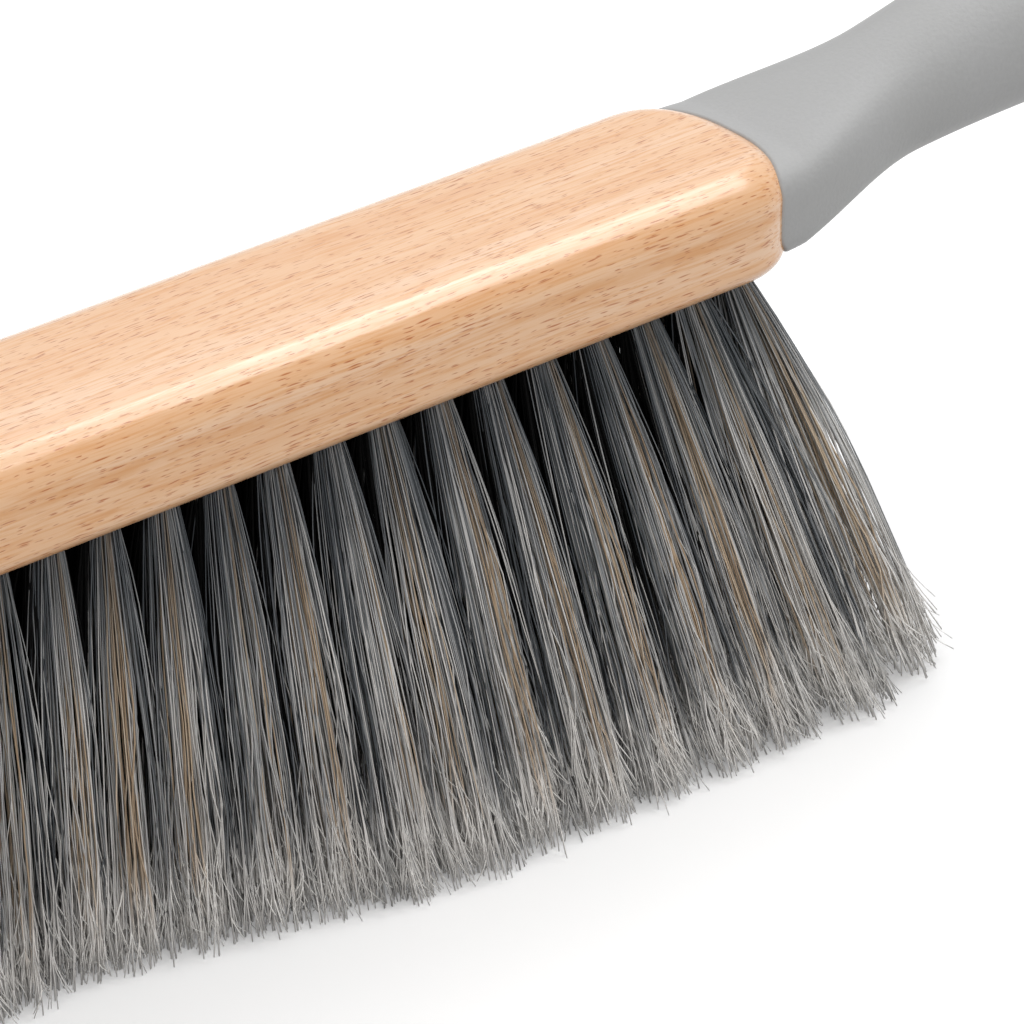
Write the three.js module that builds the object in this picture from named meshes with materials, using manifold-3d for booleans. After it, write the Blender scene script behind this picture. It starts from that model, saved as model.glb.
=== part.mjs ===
// Dusting brush: a beech block set with soft tufts, and a grey moulded handle on the block's end.
// Millimetres, +Z up, +X along the block towards the handle's end. The brush stands on its bristle tips.
// Every piece is first placed with the block's underside at z = 0 and the block's middle at x = 0.

import * as THREE from "three";
import { mergeVertices } from "three/addons/utils/BufferGeometryUtils.js";
import Module from "manifold-3d";

const wasm = await Module();
wasm.setup();

// Beech block
const BLOCK_LENGTH = 250;
const BLOCK_WIDTH = 31;
const BLOCK_HEIGHT = 15.5;
const BLOCK_END_LENGTH = 12.5;
const BLOCK_END_POWER = 2.6;
const BLOCK_TOP_RADIUS = 5.2;
const BLOCK_BOTTOM_RADIUS = 3.3;
const BLOCK_END_STEPS = 14;
const BLOCK_TOP_STEPS = 5;
const BLOCK_BOTTOM_STEPS = 4;

// Tufts: an outer ring that follows the block's outline, and a row along the middle
const TUFT_PITCH = 8.5;
const TUFT_RADIUS = 2.2;
const TUFT_SIDES = 6;
const RING_SIDE_MARGIN = 6;
const RING_END_MARGIN = 7;
const MIDDLE_ROW_GAP = 13.5;
const MIDDLE_ROW_TO_SCREW = 8;

// Bristles: how far they reach and how they spread from the roots to the tips
const TRIM_LENGTH = 61;
const END_FAN = 24;
const FAN_POWER = 2.5;
const MIDDLE_LEAN = 2.5;
const END_LEAN = 16;
const LEAN_REACH = 0.5;
const STRANDS_PER_TUFT = 5;
const STRAND_RING = 0.62;
const STRAND_ROOT_RADIUS = 0.62;
const STRAND_TIP_RADIUS = 0.85;
const SPREAD_ALONG = 2.3;
const SPREAD_ACROSS = 3.4;

// Backing slice that the strands of a row are fused to, let into the block's underside
const SLICE_THICKNESS = 1.2;
const SLICE_MARGIN = 0.6;

// Anchor wire at the bottom of the tuft holes
const ANCHOR_THICKNESS = 0.6;
const ANCHOR_HEIGHT = 1.2;

// Handle, measured along X from the tip of the block's rounded end
const HANDLE_LENGTH = 132;
const COLLAR_BACK = 5.7;
const COLLAR_SIDE_STEP = 1.1;
const COLLAR_TOP_STEP = 0.65;
const COLLAR_POWER = 3.6;
const NECK_DISTANCE = 24.5;
const NECK_WIDTH = 19.3;
const GRIP_DISTANCE = 74;
const GRIP_WIDTH = 26;
const GRIP_HEIGHT = 22.6;
const GRIP_RISE = 9.6;
const GRIP_RISE_POWER = 1.5;
const GRIP_POWER = 2.2;
const BUTT_WIDTH = 22;
const BUTT_HEIGHT = 19;
const BUTT_ROUND = 14;
const BUTT_FLAT_SHARE = 0.06;
const HANDLE_SIDES = 24;
const HANDLE_STATIONS = 22;
const BUTT_STATIONS = 7;
const HANG_HOLE_RADIUS = 4.5;
const HANG_HOLE_INSET = 15;

// Tang bar between the handle and the block, and its screws
const TANG_WIDTH = 16;
const TANG_THICKNESS = 3;
const TANG_COVER = 3.5;
const TANG_TO_TUFT_HOLES = 1.5;
const TANG_IN_BLOCK = 38;
const TANG_IN_HANDLE = 30;
const TANG_CORNER = 3;
const FRONT_SCREW_INSET = 30;
const BACK_SCREW_INSET = 14;
const SCREW_TIP_TO_TANG_TOP = 0.4;
const SCREW_SHANK_RADIUS = 1.5;
const SCREW_HEAD_RADIUS = 2.9;
const SCREW_HEAD_HEIGHT = 1.7;
const SCREW_SUNK = 0.4;
const SCREW_SIDES = 16;
const SCREW_SLOT_LENGTH = 3.8;
const SCREW_SLOT_WIDTH = 0.9;
const SCREW_SLOT_DEPTH = 1.1;

// Clearance all round between pieces that touch in the real brush
const FIT = 0.3;

// Sizes that follow from the ones above
const blockEnd = BLOCK_LENGTH / 2;
const ringOffset = BLOCK_WIDTH / 2 - RING_SIDE_MARGIN;
const ringStraight = blockEnd - RING_END_MARGIN - ringOffset;
const ringLength = 4 * ringStraight + 2 * Math.PI * ringOffset;
const ringCount = 4 * Math.round((ringLength / TUFT_PITCH - 2) / 4) + 2;
const ringStep = ringLength / ringCount;
const screwXs = [blockEnd - FRONT_SCREW_INSET, blockEnd - BACK_SCREW_INSET];
const middleFront = Math.floor((blockEnd - RING_END_MARGIN - MIDDLE_ROW_GAP) / ringStep);
const middleBack = Math.floor((Math.min(...screwXs) - MIDDLE_ROW_TO_SCREW) / ringStep);
const sliceHalfWidth = TUFT_RADIUS + SLICE_MARGIN;
const tangTop = BLOCK_HEIGHT - TANG_COVER;
const tangBottom = tangTop - TANG_THICKNESS;
const tuftHoleDepth = tangBottom - TANG_TO_TUFT_HOLES;
const anchorTop = tuftHoleDepth - FIT;
const anchorBottom = anchorTop - ANCHOR_HEIGHT;
const plugTop = anchorBottom - FIT;
const screwTip = tangTop - SCREW_TIP_TO_TANG_TOP;
const collarWidth = BLOCK_WIDTH - 2 * COLLAR_SIDE_STEP;
const collarHeight = BLOCK_HEIGHT - 2 * COLLAR_TOP_STEP;
const collarCentre = BLOCK_HEIGHT / 2;

const ease = (from, to, share) => THREE.MathUtils.lerp(from, to, THREE.MathUtils.smoothstep(share, 0, 1));

// A closed geometry as a solid, without the slivers that share a corner with themselves.
function solidOf(geometry) {
  const bare = geometry.clone();
  bare.deleteAttribute("normal");
  bare.deleteAttribute("uv");
  const merged = mergeVertices(bare, 1e-4);
  const corners = [];
  const index = merged.index.array;
  for (let i = 0; i < index.length; i += 3) {
    const [a, b, c] = index.slice(i, i + 3);
    if (a !== b && b !== c && c !== a) {
      corners.push(a, b, c);
    }
  }
  return new wasm.Manifold(new wasm.Mesh({
    numProp: 3,
    vertProperties: new Float32Array(merged.attributes.position.array),
    triVerts: new Uint32Array(corners),
  }));
}

const joinAll = (solids) => solids.reduce((sum, solid) => sum.add(solid));

// Joins many solids in pairs, then pairs of pairs.
function joinInPairs(solids) {
  let level = solids;
  while (level.length > 1) {
    const next = [];
    for (let i = 0; i < level.length; i += 2) {
      next.push(i + 1 < level.length ? level[i].add(level[i + 1]) : level[i]);
    }
    level = next;
  }
  return level[0];
}

// A skin over rings of equally many points, each ring anticlockwise seen from the last ring's side.
function loft(rings) {
  const count = rings[0].length;
  const index = [];
  for (let r = 0; r + 1 < rings.length; r += 1) {
    for (let p = 0; p < count; p += 1) {
      const a = r * count + p;
      const b = r * count + (p + 1) % count;
      index.push(a, b, b + count, a, b + count, a + count);
    }
  }
  const last = (rings.length - 1) * count;
  for (let p = 1; p + 1 < count; p += 1) {
    index.push(0, p + 1, p);
    index.push(last, last + p, last + p + 1);
  }
  const geometry = new THREE.BufferGeometry().setFromPoints(rings.flat());
  geometry.setIndex(index);
  return geometry;
}

const power = (value, exponent) => Math.sign(value) * Math.abs(value) ** exponent;

// The block's outline seen from above, drawn in by inset: straight sides and full, rounded ends.
function blockOutline(inset, z) {
  const points = [];
  const exponent = 2 / BLOCK_END_POWER;
  for (const side of [1, -1]) {
    for (let i = 0; i <= BLOCK_END_STEPS; i += 1) {
      const angle = (i / BLOCK_END_STEPS - 0.5) * Math.PI;
      const along = (BLOCK_END_LENGTH - inset) * power(Math.cos(angle), exponent);
      const across = (BLOCK_WIDTH / 2 - inset) * power(Math.sin(angle), exponent);
      const x = side * (blockEnd - BLOCK_END_LENGTH + along);
      points.push(new THREE.Vector3(x, side * across, z));
    }
  }
  return points;
}

// The block with every face moved out by grow: outlines stacked from the underside to the top.
function blockGeometry(grow) {
  const rings = [];
  const rounding = (radius, centre, up, steps) => {
    for (let i = 0; i <= steps; i += 1) {
      const angle = (up ? i : steps - i) / steps * Math.PI / 2;
      const reach = radius + grow;
      const inset = radius - reach * Math.cos(angle);
      rings.push(blockOutline(inset, centre + (up ? 1 : -1) * reach * Math.sin(angle)));
    }
  };
  rounding(BLOCK_BOTTOM_RADIUS, BLOCK_BOTTOM_RADIUS, false, BLOCK_BOTTOM_STEPS);
  rounding(BLOCK_TOP_RADIUS, BLOCK_HEIGHT - BLOCK_TOP_RADIUS, true, BLOCK_TOP_STEPS);
  return loft(rings);
}

// A flat ring of the given half width along the outer line of tufts, between two heights.
function ringBand(halfWidth, bottom, top) {
  const stadium = (path, radius) => {
    path.absarc(ringStraight, 0, radius, -Math.PI / 2, Math.PI / 2, false);
    path.absarc(-ringStraight, 0, radius, Math.PI / 2, 1.5 * Math.PI, false);
    path.closePath();
    return path;
  };
  const shape = stadium(new THREE.Shape(), ringOffset + halfWidth);
  shape.holes.push(stadium(new THREE.Path(), ringOffset - halfWidth));
  return extrudeUp(shape, bottom, top);
}

// A straight bar of the given half width along the middle line of tufts, between two heights.
function middleBand(halfWidth, bottom, top) {
  const shape = new THREE.Shape();
  const front = -middleFront * ringStep;
  const back = middleBack * ringStep;
  shape.absarc(back, 0, halfWidth, -Math.PI / 2, Math.PI / 2, false);
  shape.absarc(front, 0, halfWidth, Math.PI / 2, 1.5 * Math.PI, false);
  shape.closePath();
  return extrudeUp(shape, bottom, top);
}

function extrudeUp(shape, bottom, top) {
  const options = { depth: top - bottom, bevelEnabled: false, curveSegments: 8 };
  const geometry = new THREE.ExtrudeGeometry(shape, options).translate(0, 0, bottom);
  return solidOf(geometry);
}

// An upright round bar between two heights.
function post(x, y, radius, bottom, top, sides) {
  const geometry = new THREE.CylinderGeometry(radius, radius, top - bottom, sides);
  geometry.rotateX(Math.PI / 2).translate(x, y, (bottom + top) / 2);
  return solidOf(geometry);
}

// A point of the outer line of tufts, a distance from the middle of its front side towards +X.
function ringPoint(distance) {
  const half = ringLength / 2;
  const turned = distance >= half;
  const d = turned ? distance - half : distance;
  const arc = Math.PI * ringOffset;
  let point = new THREE.Vector2(d, -ringOffset);
  if (d > ringStraight + arc) {
    point = new THREE.Vector2(ringStraight - (d - ringStraight - arc), ringOffset);
  } else if (d > ringStraight) {
    const angle = (d - ringStraight) / ringOffset;
    point = new THREE.Vector2(
      ringStraight + ringOffset * Math.sin(angle),
      -ringOffset * Math.cos(angle),
    );
  }
  return turned ? point.negate() : point;
}

// Roots of the tufts. The tuft at each end of the ring counts with the front ones.
const ringRoots = [];
for (let i = 0; i < ringCount; i += 1) {
  ringRoots.push(ringPoint((i + 0.5) * ringStep));
}
const splitAt = ringOffset * Math.sin(ringStep / ringOffset) / 2 - FIT;
const frontRoots = ringRoots.filter((root) => root.y < splitAt);
const backRoots = ringRoots.filter((root) => root.y >= splitAt);
const middleRoots = [];
for (let i = -middleFront; i <= middleBack; i += 1) {
  middleRoots.push(new THREE.Vector2(i * ringStep, 0));
}

// Where the middle of a tuft's tips lies: it fans out towards the ends and leans out to the sides.
function tipOf(root) {
  const reach = Math.abs(root.x) / blockEnd;
  const lean = ease(MIDDLE_LEAN, END_LEAN, reach / LEAN_REACH);
  const x = root.x + Math.sign(root.x) * END_FAN * reach ** FAN_POWER;
  return new THREE.Vector2(x, root.y * (1 + lean / ringOffset));
}

// One strand, a three-sided bar from inside the backing slice to a flat tip on the ground.
function strand(root, tip, mirrored) {
  const ring = (centre, radius, z) => {
    const points = [0, 1, 2].map((i) => {
      const angle = (i / 3 + 0.25) * 2 * Math.PI;
      const y = radius * Math.sin(angle) * (mirrored ? -1 : 1);
      return new THREE.Vector3(centre.x + radius * Math.cos(angle), centre.y + y, z);
    });
    return mirrored ? points.reverse() : points;
  };
  const bottom = ring(tip, STRAND_TIP_RADIUS, -TRIM_LENGTH);
  const top = ring(root, STRAND_ROOT_RADIUS, SLICE_THICKNESS / 2);
  return solidOf(loft([bottom, top]));
}

// The strands of one tuft and the plug that fills its hole.
function tuft(root) {
  const middle = tipOf(root);
  const mirrored = root.y > 0;
  const pieces = [post(root.x, root.y, TUFT_RADIUS, SLICE_THICKNESS / 2, plugTop, TUFT_SIDES)];
  for (let i = 0; i < STRANDS_PER_TUFT; i += 1) {
    const angle = (i / STRANDS_PER_TUFT + 0.25) * 2 * Math.PI;
    const out = new THREE.Vector2(Math.cos(angle), Math.sin(angle) * (mirrored ? -1 : 1));
    out.multiplyScalar(TUFT_RADIUS * STRAND_RING);
    const spread = new THREE.Vector2(out.x * SPREAD_ALONG, out.y * SPREAD_ACROSS);
    pieces.push(strand(root.clone().add(out), middle.clone().add(spread), mirrored));
  }
  return joinAll(pieces);
}

// A box that holds everything in front of, or behind, the line between the front and the back tufts.
function halfSpace(front) {
  const gap = FIT / 2;
  const size = BLOCK_WIDTH;
  const geometry = new THREE.BoxGeometry(BLOCK_LENGTH, size, BLOCK_HEIGHT * 3);
  return solidOf(geometry.translate(0, splitAt + (front ? -1 : 1) * (size / 2 + gap), 0));
}

const frontHalf = halfSpace(true);
const backHalf = halfSpace(false);
const ringSlice = ringBand(sliceHalfWidth, 0, SLICE_THICKNESS);
const middleSlice = middleBand(sliceHalfWidth, 0, SLICE_THICKNESS);
const bristlesFront = joinInPairs([ringSlice.intersect(frontHalf), ...frontRoots.map(tuft)]);
const bristlesBack = joinInPairs([ringSlice.intersect(backHalf), ...backRoots.map(tuft)]);
const bristlesMiddle = joinInPairs([middleSlice, ...middleRoots.map(tuft)]);

const anchorRing = ringBand(ANCHOR_THICKNESS / 2, anchorBottom, anchorTop);
const anchorsFront = anchorRing.intersect(frontHalf);
const anchorsBack = anchorRing.intersect(backHalf);
const anchorsMiddle = middleBand(ANCHOR_THICKNESS / 2, anchorBottom, anchorTop);

// Tang bar, drawn as a flat plate with rounded corners, with every face moved out by grow.
function tangBar(grow) {
  const left = blockEnd - TANG_IN_BLOCK - grow;
  const right = blockEnd + TANG_IN_HANDLE + grow;
  const half = TANG_WIDTH / 2 + grow;
  const shape = new THREE.Shape();
  shape.absarc(right - TANG_CORNER, half - TANG_CORNER, TANG_CORNER, 0, Math.PI / 2, false);
  shape.absarc(left + TANG_CORNER, half - TANG_CORNER, TANG_CORNER, Math.PI / 2, Math.PI, false);
  shape.absarc(left + TANG_CORNER, TANG_CORNER - half, TANG_CORNER, Math.PI, 1.5 * Math.PI, false);
  shape.absarc(right - TANG_CORNER, TANG_CORNER - half, TANG_CORNER, 1.5 * Math.PI, 2 * Math.PI, false);
  shape.closePath();
  return extrudeUp(shape, tangBottom - grow, tangTop + grow);
}

// A countersunk screw with its head down, with every face moved out by grow and its mouth run out below.
function screwGeometry(x, grow, mouth) {
  const foot = SCREW_SUNK - mouth;
  const neck = SCREW_SUNK + SCREW_HEAD_HEIGHT;
  const profile = [
    [0, foot],
    [SCREW_HEAD_RADIUS + grow, foot],
    [SCREW_HEAD_RADIUS + grow, SCREW_SUNK + grow],
    [SCREW_SHANK_RADIUS + grow, neck + grow],
    [SCREW_SHANK_RADIUS + grow, screwTip - SCREW_SHANK_RADIUS + grow],
    [0, screwTip + grow],
  ];
  const points = profile.filter(([, z], i) => i !== 2 || z > foot).map(([r, z]) => new THREE.Vector2(r, z));
  const geometry = new THREE.LatheGeometry(points, SCREW_SIDES);
  return solidOf(geometry.rotateX(Math.PI / 2).translate(x, 0, 0));
}

// Cross slot in the screw's head.
function screwSlot(x, turned) {
  const size = turned ? [SCREW_SLOT_WIDTH, SCREW_SLOT_LENGTH] : [SCREW_SLOT_LENGTH, SCREW_SLOT_WIDTH];
  const geometry = new THREE.BoxGeometry(...size, 2 * SCREW_SLOT_DEPTH);
  return solidOf(geometry.translate(x, 0, SCREW_SUNK));
}

const screws = screwXs.map((x) => {
  const body = screwGeometry(x, 0, 0);
  return body.subtract(screwSlot(x, false)).subtract(screwSlot(x, true));
});
const screwHoles = joinAll(screwXs.map((x) => screwGeometry(x, FIT, 2)));
const tang = tangBar(0).subtract(screwHoles);

// Block: cut for the slices, the tuft plugs, the anchor wire, the tang and the screws.
const holes = [...ringRoots, ...middleRoots].map((root) => (
  post(root.x, root.y, TUFT_RADIUS + FIT, SLICE_THICKNESS / 2, tuftHoleDepth, TUFT_SIDES)
));
const wireSlot = ANCHOR_THICKNESS / 2 + FIT;
const block = solidOf(blockGeometry(0))
  .subtract(ringBand(sliceHalfWidth + FIT, -1, SLICE_THICKNESS + FIT))
  .subtract(middleBand(sliceHalfWidth + FIT, -1, SLICE_THICKNESS + FIT))
  .subtract(joinInPairs(holes))
  .subtract(ringBand(wireSlot, plugTop, tuftHoleDepth))
  .subtract(middleBand(wireSlot, plugTop, tuftHoleDepth))
  .subtract(tangBar(FIT))
  .subtract(screwHoles);

// Handle: oval rings along X that run from the collar over the neck to the grip and the rounded butt.
function handleRing(t) {
  const collarToNeck = (t + COLLAR_BACK) / (NECK_DISTANCE + COLLAR_BACK);
  const collarToGrip = (t + COLLAR_BACK) / (GRIP_DISTANCE + COLLAR_BACK);
  const neckToGrip = (t - NECK_DISTANCE) / (GRIP_DISTANCE - NECK_DISTANCE);
  const buttStart = HANDLE_LENGTH - BUTT_ROUND;
  const gripToButt = (t - GRIP_DISTANCE) / (buttStart - GRIP_DISTANCE);
  const round = Math.max(0, t - buttStart) / BUTT_ROUND;
  let width = ease(collarWidth, NECK_WIDTH, collarToNeck);
  let height = ease(collarHeight, GRIP_HEIGHT, collarToGrip);
  if (t > NECK_DISTANCE) {
    width = ease(NECK_WIDTH, GRIP_WIDTH, neckToGrip);
  }
  if (t > GRIP_DISTANCE) {
    width = ease(GRIP_WIDTH, BUTT_WIDTH, gripToButt);
    height = ease(GRIP_HEIGHT, BUTT_HEIGHT, gripToButt);
  }
  const closing = Math.max(BUTT_FLAT_SHARE, Math.sqrt(Math.max(0, 1 - round * round)));
  const climb = 1 - Math.max(0, 1 - Math.max(0, t) / GRIP_DISTANCE) ** GRIP_RISE_POWER;
  const centre = collarCentre + GRIP_RISE * climb;
  const exponent = 2 / ease(COLLAR_POWER, GRIP_POWER, collarToNeck);
  const points = [];
  for (let i = 0; i < HANDLE_SIDES; i += 1) {
    const angle = (i + 0.5) / HANDLE_SIDES * 2 * Math.PI;
    const y = width / 2 * closing * power(Math.cos(angle), exponent);
    const z = height / 2 * closing * power(Math.sin(angle), exponent);
    points.push(new THREE.Vector3(blockEnd + t, y, centre + z));
  }
  return points;
}

const stations = [];
for (let i = 0; i <= HANDLE_STATIONS; i += 1) {
  stations.push(THREE.MathUtils.lerp(-COLLAR_BACK, HANDLE_LENGTH - BUTT_ROUND, i / HANDLE_STATIONS));
}
for (let i = 1; i <= BUTT_STATIONS; i += 1) {
  stations.push(HANDLE_LENGTH - BUTT_ROUND * (1 - Math.sin(i / BUTT_STATIONS * Math.PI / 2)));
}
const hangX = blockEnd + HANDLE_LENGTH - HANG_HOLE_INSET;
const handle = solidOf(loft(stations.map(handleRing)))
  .subtract(solidOf(blockGeometry(FIT)))
  .subtract(tangBar(FIT))
  .subtract(post(hangX, 0, HANG_HOLE_RADIUS, -BLOCK_HEIGHT, 4 * BLOCK_HEIGHT, 24));

const beech = () => new THREE.MeshStandardMaterial({ color: 0xe2b88e, roughness: 0.42, metalness: 0 });
const greyMoulding = () => new THREE.MeshStandardMaterial({ color: 0xb0b0b0, roughness: 0.62, metalness: 0 });
const softFibre = () => new THREE.MeshStandardMaterial({ color: 0x5f5d5b, roughness: 0.7, metalness: 0 });
const steel = () => new THREE.MeshStandardMaterial({ color: 0xa9adb2, roughness: 0.35, metalness: 1 });
const anchorWire = () => new THREE.MeshStandardMaterial({ color: 0xb8a878, roughness: 0.4, metalness: 1 });

function named(name, solid, material) {
  const mesh = solid.getMesh();
  const geometry = new THREE.BufferGeometry();
  const points = new Float32Array(mesh.vertProperties);
  geometry.setAttribute("position", new THREE.BufferAttribute(points, mesh.numProp));
  geometry.setIndex(new THREE.BufferAttribute(new Uint32Array(mesh.triVerts), 1));
  geometry.computeVertexNormals();
  const piece = new THREE.Mesh(geometry, material);
  piece.name = name;
  return piece;
}

const brush = new THREE.Group();
brush.add(
  named("beech_block", block, beech()),
  named("handle_grip", handle, greyMoulding()),
  named("tang_bar", tang, steel()),
  named("tang_screw_front", screws[0], steel()),
  named("tang_screw_back", screws[1], steel()),
  named("bristles_front", bristlesFront, softFibre()),
  named("bristles_middle", bristlesMiddle, softFibre()),
  named("bristles_back", bristlesBack, softFibre()),
  named("anchors_front", anchorsFront, anchorWire()),
  named("anchors_middle", anchorsMiddle, anchorWire()),
  named("anchors_back", anchorsBack, anchorWire()),
);

// The origin is under the middle of the whole brush, on the ground that the tips stand on.
const bounds = new THREE.Box3().setFromObject(brush);
brush.position.set(-(bounds.min.x + bounds.max.x) / 2, 0, -bounds.min.z);

export default brush;
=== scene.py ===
"""Looks of a dusting brush: a lacquered beech block, a grey moulded handle and soft bristles with split tips.

The frame's axes: +X along the block towards the handle's end, +Z up, with the bristle tips on z = 0.
Sizes are millimetres, measured from the middle of the block's underside unless a comment says otherwise.
"""

import math

import bpy
import numpy as np
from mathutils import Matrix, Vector


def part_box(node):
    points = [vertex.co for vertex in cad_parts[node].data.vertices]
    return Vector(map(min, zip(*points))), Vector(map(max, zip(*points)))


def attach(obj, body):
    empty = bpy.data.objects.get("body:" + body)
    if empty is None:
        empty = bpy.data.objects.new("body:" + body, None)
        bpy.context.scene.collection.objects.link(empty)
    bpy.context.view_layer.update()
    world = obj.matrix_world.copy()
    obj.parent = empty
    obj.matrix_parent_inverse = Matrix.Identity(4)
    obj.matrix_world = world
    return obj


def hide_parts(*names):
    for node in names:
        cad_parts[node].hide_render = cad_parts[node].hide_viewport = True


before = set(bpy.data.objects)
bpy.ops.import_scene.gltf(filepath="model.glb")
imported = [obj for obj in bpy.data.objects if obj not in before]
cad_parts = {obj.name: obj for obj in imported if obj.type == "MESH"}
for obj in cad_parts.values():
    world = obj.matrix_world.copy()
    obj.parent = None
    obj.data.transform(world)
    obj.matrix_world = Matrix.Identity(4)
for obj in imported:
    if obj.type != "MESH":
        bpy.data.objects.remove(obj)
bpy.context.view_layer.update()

MM = 0.001

# Beech block, with its overall size taken from the frame
block_low, block_high = (np.array(corner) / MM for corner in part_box("beech_block"))
BLOCK_LENGTH, BLOCK_WIDTH, BLOCK_HEIGHT = block_high - block_low
BLOCK_ORIGIN = np.array([(block_low[0] + block_high[0]) / 2, 0, block_low[2]])
BLOCK_END = BLOCK_LENGTH / 2
BLOCK_END_LENGTH = 12.5
BLOCK_END_POWER = 2.6
BLOCK_TOP_RADIUS = 5.2
BLOCK_BOTTOM_RADIUS = 3.3
BLOCK_END_STEPS = 72
BLOCK_EDGE_STEPS = 15
BLOCK_SHARP_DEGREES = 32
EDGE_LINE_HEIGHT = block_high[2] - BLOCK_TOP_RADIUS

# Tufts: an outer ring that follows the block's outline, and a row along the middle
TUFT_PITCH = 8.5
TUFT_RADIUS = 2.2
TUFT_HOLE_CLEARANCE = 0.25
TUFT_HOLE_DEPTH = 7.5
TUFT_ROOT_DEPTH = 2
RING_SIDE_MARGIN = 6
RING_END_MARGIN = 7
RING_OFFSET = BLOCK_WIDTH / 2 - RING_SIDE_MARGIN
RING_STRAIGHT = BLOCK_END - RING_END_MARGIN - RING_OFFSET
MIDDLE_ROW_GAP = 13.5
MIDDLE_ROW_TO_SCREW = 8
SCREW_HOLE_RADIUS = 3.2
HOLE_SIDES = 20

# Where tufts point: fanned out to the ends and leant out to the sides
TRIM_LENGTH = BLOCK_ORIGIN[2]
END_FAN = 24
FAN_POWER = 2.5
MIDDLE_LEAN = 2.5
END_LEAN = 16
LEAN_REACH = 0.5

# Bristles of one tuft
BRISTLES = {
    "Tuft radius": 2.1 * MM,
    "Fibre radius": 0.125 * MM,
    "Spread along": 2.7,
    "Spread across": 2,
    "Opening": 2.4,
    "Locks": 3.2,
    "Stray": 1 * MM,
    "Stray share": 0.07,
    "Ragged": 0.13,
    "Bow": 0.5 * MM,
    "Wave": 0.48 * MM,
    "Fray": 1.9 * MM,
    "Split from": 0.91,
}
END_FLARE = 1.75
GATHER = 0.5
END_GATHER = 0
FILL_SHARE = 0.35
END_FILL_SHARE = 0.85
RING_FIBRES = 215
RING_SPLIT_ENDS = 2
# How deep in a tuft a fibre stands before its root is painted near black as shade, for ring, middle row and
# ends
RING_SHADED_BEYOND = 0.15
MIDDLE_FIBRES = 170
MIDDLE_SPLIT_ENDS = 1
MIDDLE_SHADED_BEYOND = -2
END_SHADED_BEYOND = 0.9
GATHER_EARLIER = 0.5
FILL_EARLIER = 1.5
LOCK_STEP = 7.3
STRAY_EXTRA = 1.6
STRAY_CUT = 0.6
SHORT_POWER = 2.2
KINK_POWER = 4
KINK_EXTRA = 2.4
LEAST_KINK = 0.4
FLARE_STOUTNESS = 0.5
# Painted shade reaches this much further at a tuft's sides
SIDE_SHADE_REACH = 0.4
SPLIT_THICKNESS = 0.75
SPLAY_POWER = 1.3
TIP_TAPER = 0.1
FIBRE_BENDS = 12
SPLIT_BENDS = 3
RING_PIECES = 4
MIDDLE_PIECES = 2
FIRST_SEED = 11
SEED_STEP = 100

# Blend of the fibres, from slate at 0 to near white and then tans up to 1, and what moves a fibre in it
GREYS_END = 0.66
TANS_START = 0.7
STREAK_PLACE = 0.35
STREAK_REACH = 0.33
STREAK_TONE = 0.27
# Greys darker away from the streak: partly slate sides, partly painted shade on the tuft's round body
AWAY_SHADE_TONE = -0.22
ROW_TONE = 0.05
# Painted light: end tufts are drawn paler for the light from behind them
END_LIGHT_TONE = 0.24
STRAY_TONE = 0.2
LOCK_TONE = 0.12
FIBRE_TONE = 0.66
PALE_POWER = 1.8

# Map for baking the bristles: its margin and a fibre's width on it, as shares of the map
CHART_MARGIN = 0.02
CHART_FIBRE_WIDTH = 0.006

# Handle, measured along X from the tip of the block's rounded end
HANDLE_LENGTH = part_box("handle_grip")[1].x / MM - block_high[0]
COLLAR_BACK = 5.7
COLLAR_SIDE_STEP = 1.1
COLLAR_TOP_STEP = 0.65
COLLAR_POWER = 4.2
COLLAR_BLEND = 26
NECK_DISTANCE = 24.5
NECK_WIDTH = 19.3
GRIP_DISTANCE = 74
GRIP_WIDTH = 26
GRIP_HEIGHT = 22.6
GRIP_RISE = 9.6
GRIP_RISE_POWER = 1.5
GRIP_POWER = 2.2
BUTT_WIDTH = 22
BUTT_HEIGHT = 19
BUTT_ROUND = 14
HANG_HOLE_RADIUS = 4.5
HANG_HOLE_INSET = 15
HANG_HOLE_EASE = 1.6
SEAM_GAP = 0.45
SEAM_ROUND = 0.5
SEAM_HALVINGS = 40
SOCKET_SHARES = (0.2, 0.4, 0.6, 0.78, 0.92)
LIP_STEPS = 6
HANDLE_SIDES = 112
HANDLE_STATIONS = 90
STATION_CROWDING = 1.15
BUTT_STEPS = 19
HANG_HOLE_SIDES = 64
HANG_HOLE_EASE_STEPS = 8
BOBBIN_END_STEPS = 3
BOBBIN_REACH = 4
BOBBIN_CLEAR = 0.5
HANDLE_SHARP_DEGREES = 40

# Light, in metres: at level 1 a white surface that faces the light renders as 1
WORLD_LEVEL = 0.55
SOFTBOX_ABOVE = {"towards": Vector((0.4, 0.52, 0.76)), "level": 0.2, "width": 1, "height": 1}
SOFTBOX_RIGHT = {"towards": Vector((0.56, 0, 0.82)), "level": 0.34, "width": 1.3, "height": 0.32}
SOFTBOX_FRONT = {"towards": Vector((-0.35, -0.8, 0.5)), "level": 0.28, "width": 1, "height": 1}
SOFTBOX_DISTANCE = 1.6

# Floor: half its width in metres, its drop, its white as seen and as it throws light, and its lift to the
# photograph's white
FLOOR_HALF = 4
FLOOR_DROP = 0.05
FLOOR_WHITE = 0.95
FLOOR_BOUNCE = 0.42
FLOOR_LIFT = 0.2

# Camera: the photograph's viewing angle, its place in the frame and its focal length in the picture's pixels
VIEW_AZIMUTH = -39.89
VIEW_ELEVATION = 29.05
VIEW_PLACE = Vector((-447.6, -569.6, 444.1))
FOCAL_PIXELS = 6500
PICTURE_PIXELS = 1024
SENSOR_WIDTH = 36


def linear(code):
    """An sRGB hex colour as linear red, green, blue and alpha."""
    shares = [int(code[i:i + 2], 16) / 255 for i in (1, 3, 5)]
    return (*(s / 12.92 if s <= 0.04045 else ((s + 0.055) / 1.055) ** 2.4 for s in shares), 1)


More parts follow.
